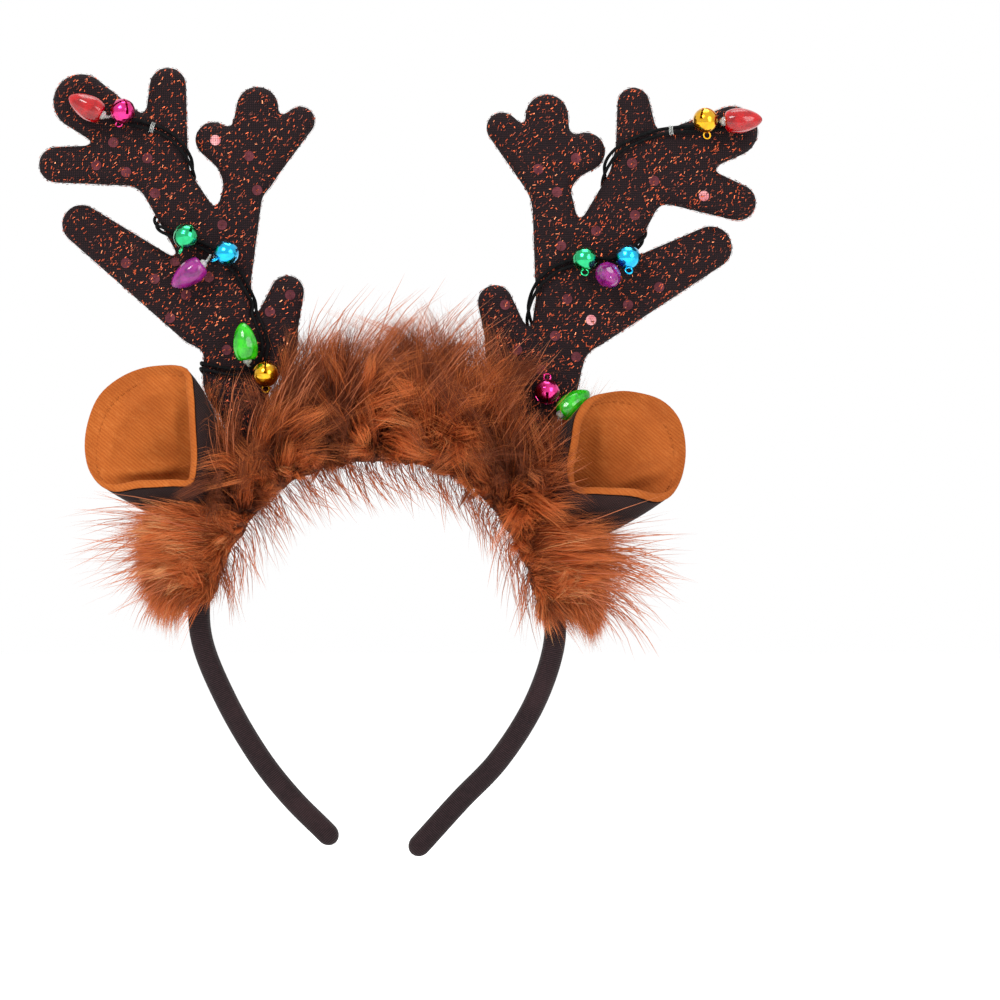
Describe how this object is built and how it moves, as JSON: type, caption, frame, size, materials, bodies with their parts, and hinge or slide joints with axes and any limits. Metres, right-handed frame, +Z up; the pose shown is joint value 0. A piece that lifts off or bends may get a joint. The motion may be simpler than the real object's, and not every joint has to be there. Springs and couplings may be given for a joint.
{
  "type": "reindeer antler headband",
  "caption": "Fabric hair band with a deep fur trim, two padded branching antlers, two lined ears, and wires of bulbs and jingle bells wound over the antlers.",
  "frame": {"origin": "top of the arch's inner side, in the middle of the band's width, where it sits on the crown of the head", "axes": "+Z up through the crown, -Y towards the wearer's front, +X to the right as seen from the front; the arch lies in the XZ plane"},
  "size_m": [0.2361, 0.0518, 0.2575],
  "materials": {
    "dark_cloth": "fine ribbed dark plum-brown cloth",
    "fur": "long shaggy ginger-brown faux fur with dark roots",
    "glitter_cloth": "near-black knit with copper metallic flecks and scattered mauve sequins",
    "tan_cloth": "brushed tan twill",
    "wire": "satin insulated wire",
    "led": "clear lamp and clear sleeved lead",
    "bulb_red": "fluted translucent plastic",
    "bulb_purple": "fluted translucent plastic",
    "bulb_green": "fluted translucent plastic",
    "bell_pink": "glossy coloured metal",
    "bell_green": "glossy coloured metal",
    "bell_blue": "glossy coloured metal",
    "bell_gold": "glossy coloured metal"
  },
  "bodies": {
    "root": {"band": "dark_cloth", "fur_trim": "fur", "antler_left": "glitter_cloth", "antler_right": "glitter_cloth", "ear_left_back": "dark_cloth", "ear_left_front": "tan_cloth", "ear_right_back": "dark_cloth", "ear_right_front": "tan_cloth", "wire_left_a": "wire", "wire_left_b": "wire", "wire_right_a": "wire", "wire_right_b": "wire", "bell_left_pink": "bell_pink", "bell_left_green": "bell_green", "bell_left_blue": "bell_blue", "bell_left_gold": "bell_gold", "bell_right_gold": "bell_gold", "bell_right_green": "bell_green", "bell_right_blue": "bell_blue", "bell_right_pink": "bell_pink", "bulb_left_red": "bulb_red", "bulb_left_purple": "bulb_purple", "bulb_left_green": "bulb_green", "bulb_right_red": "bulb_red", "bulb_right_purple": "bulb_purple", "bulb_right_green": "bulb_green", "led_left_red": "led", "led_left_purple": "led", "led_left_green": "led", "led_right_red": "led", "led_right_purple": "led", "led_right_green": "led"}
  },
  "joints": []
}
